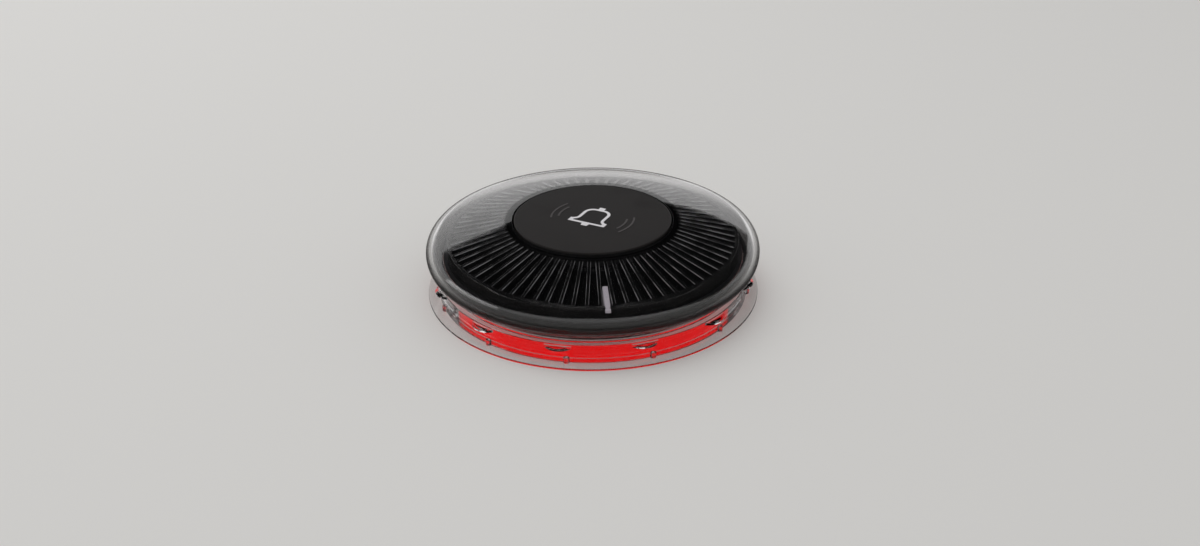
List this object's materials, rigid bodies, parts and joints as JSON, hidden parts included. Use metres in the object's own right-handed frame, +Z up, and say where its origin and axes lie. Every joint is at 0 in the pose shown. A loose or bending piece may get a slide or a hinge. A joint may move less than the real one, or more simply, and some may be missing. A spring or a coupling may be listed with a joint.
{
  "type": "waiter call button",
  "caption": "Low round table call button: flat centre cap with a bell, smoked clear dome over black radial fins, and a clear flanged base lit by a red ring.",
  "frame": {"origin": "centre of the underside, on the surface that the button rests on", "axes": "+Z up along the body's axis, +Y towards the top of the bell symbol, +X to its right"},
  "size_m": [0.062, 0.062, 0.0141],
  "materials": {
    "clear_plastic": "clear moulded plastic, polished",
    "red_light": "red translucent plastic, lit",
    "smoked_plastic": "smoked clear plastic, polished",
    "black_plastic": "black moulded plastic, fine texture",
    "cap_plastic": "charcoal moulded plastic, fine satin",
    "print_light": "pale grey print",
    "print_dark": "dark grey print",
    "grey_plastic": "light grey translucent plastic",
    "soft_black": "black silicone rubber",
    "soft_red": "red silicone rubber",
    "board": "green laminate with solder mask",
    "chip": "black moulded package",
    "ceramic_chips": "tan ceramic chips",
    "lamp": "pale lamp bodies",
    "copper": "bare copper",
    "spring_metal": "gold-plated spring strip",
    "steel": "bright steel"
  },
  "bodies": {
    "housing": {"clear_base": "clear_plastic", "light_ring": "red_light", "bottom_plate": "black_plastic", "foot_pad": "soft_black", "base_screws": "steel", "chassis": "black_plastic", "circuit_board": "board", "ring_leds": "lamp", "status_led": "lamp", "radio_chip": "chip", "crystal": "steel", "board_parts": "ceramic_chips", "antenna": "copper", "cell_holder": "black_plastic", "coin_cell": "steel", "positive_terminal": "spring_metal", "negative_terminal": "spring_metal", "switch_base": "chip", "switch_pins": "steel", "snap_disc": "steel", "switch_cover": "steel", "button_guide": "black_plastic", "button_seal": "soft_black", "fin_ring": "black_plastic", "indicator_bar": "grey_plastic", "dome_cover": "smoked_plastic", "dome_seal": "soft_black"},
    "button": {"button_cap": "cap_plastic", "bell_symbol": "print_light", "wave_marks": "print_dark"},
    "plunger": {"switch_plunger": "chip"},
    "door": {"battery_door": "black_plastic", "door_seal": "soft_red"}
  },
  "joints": [
    {"name": "button_press", "type": "slide", "parent": "housing", "child": "button", "axis": [0, 0, -1], "range_m": [0, 0.0003], "stiffness_N_per_m": 400, "springref_m": -0.002},
    {"name": "switch_press", "type": "slide", "parent": "housing", "child": "plunger", "axis": [0, 0, -1], "range_m": [0, 0.0003]},
    {"name": "door_turn", "type": "hinge", "parent": "housing", "child": "door", "pos_m": [0, 0, 0.001], "axis": [0, 0, -1], "range_deg": [0, 40]}
  ],
  "couplings": [
    {"joint": "switch_press", "follows": "button_press", "ratio": 1}
  ]
}
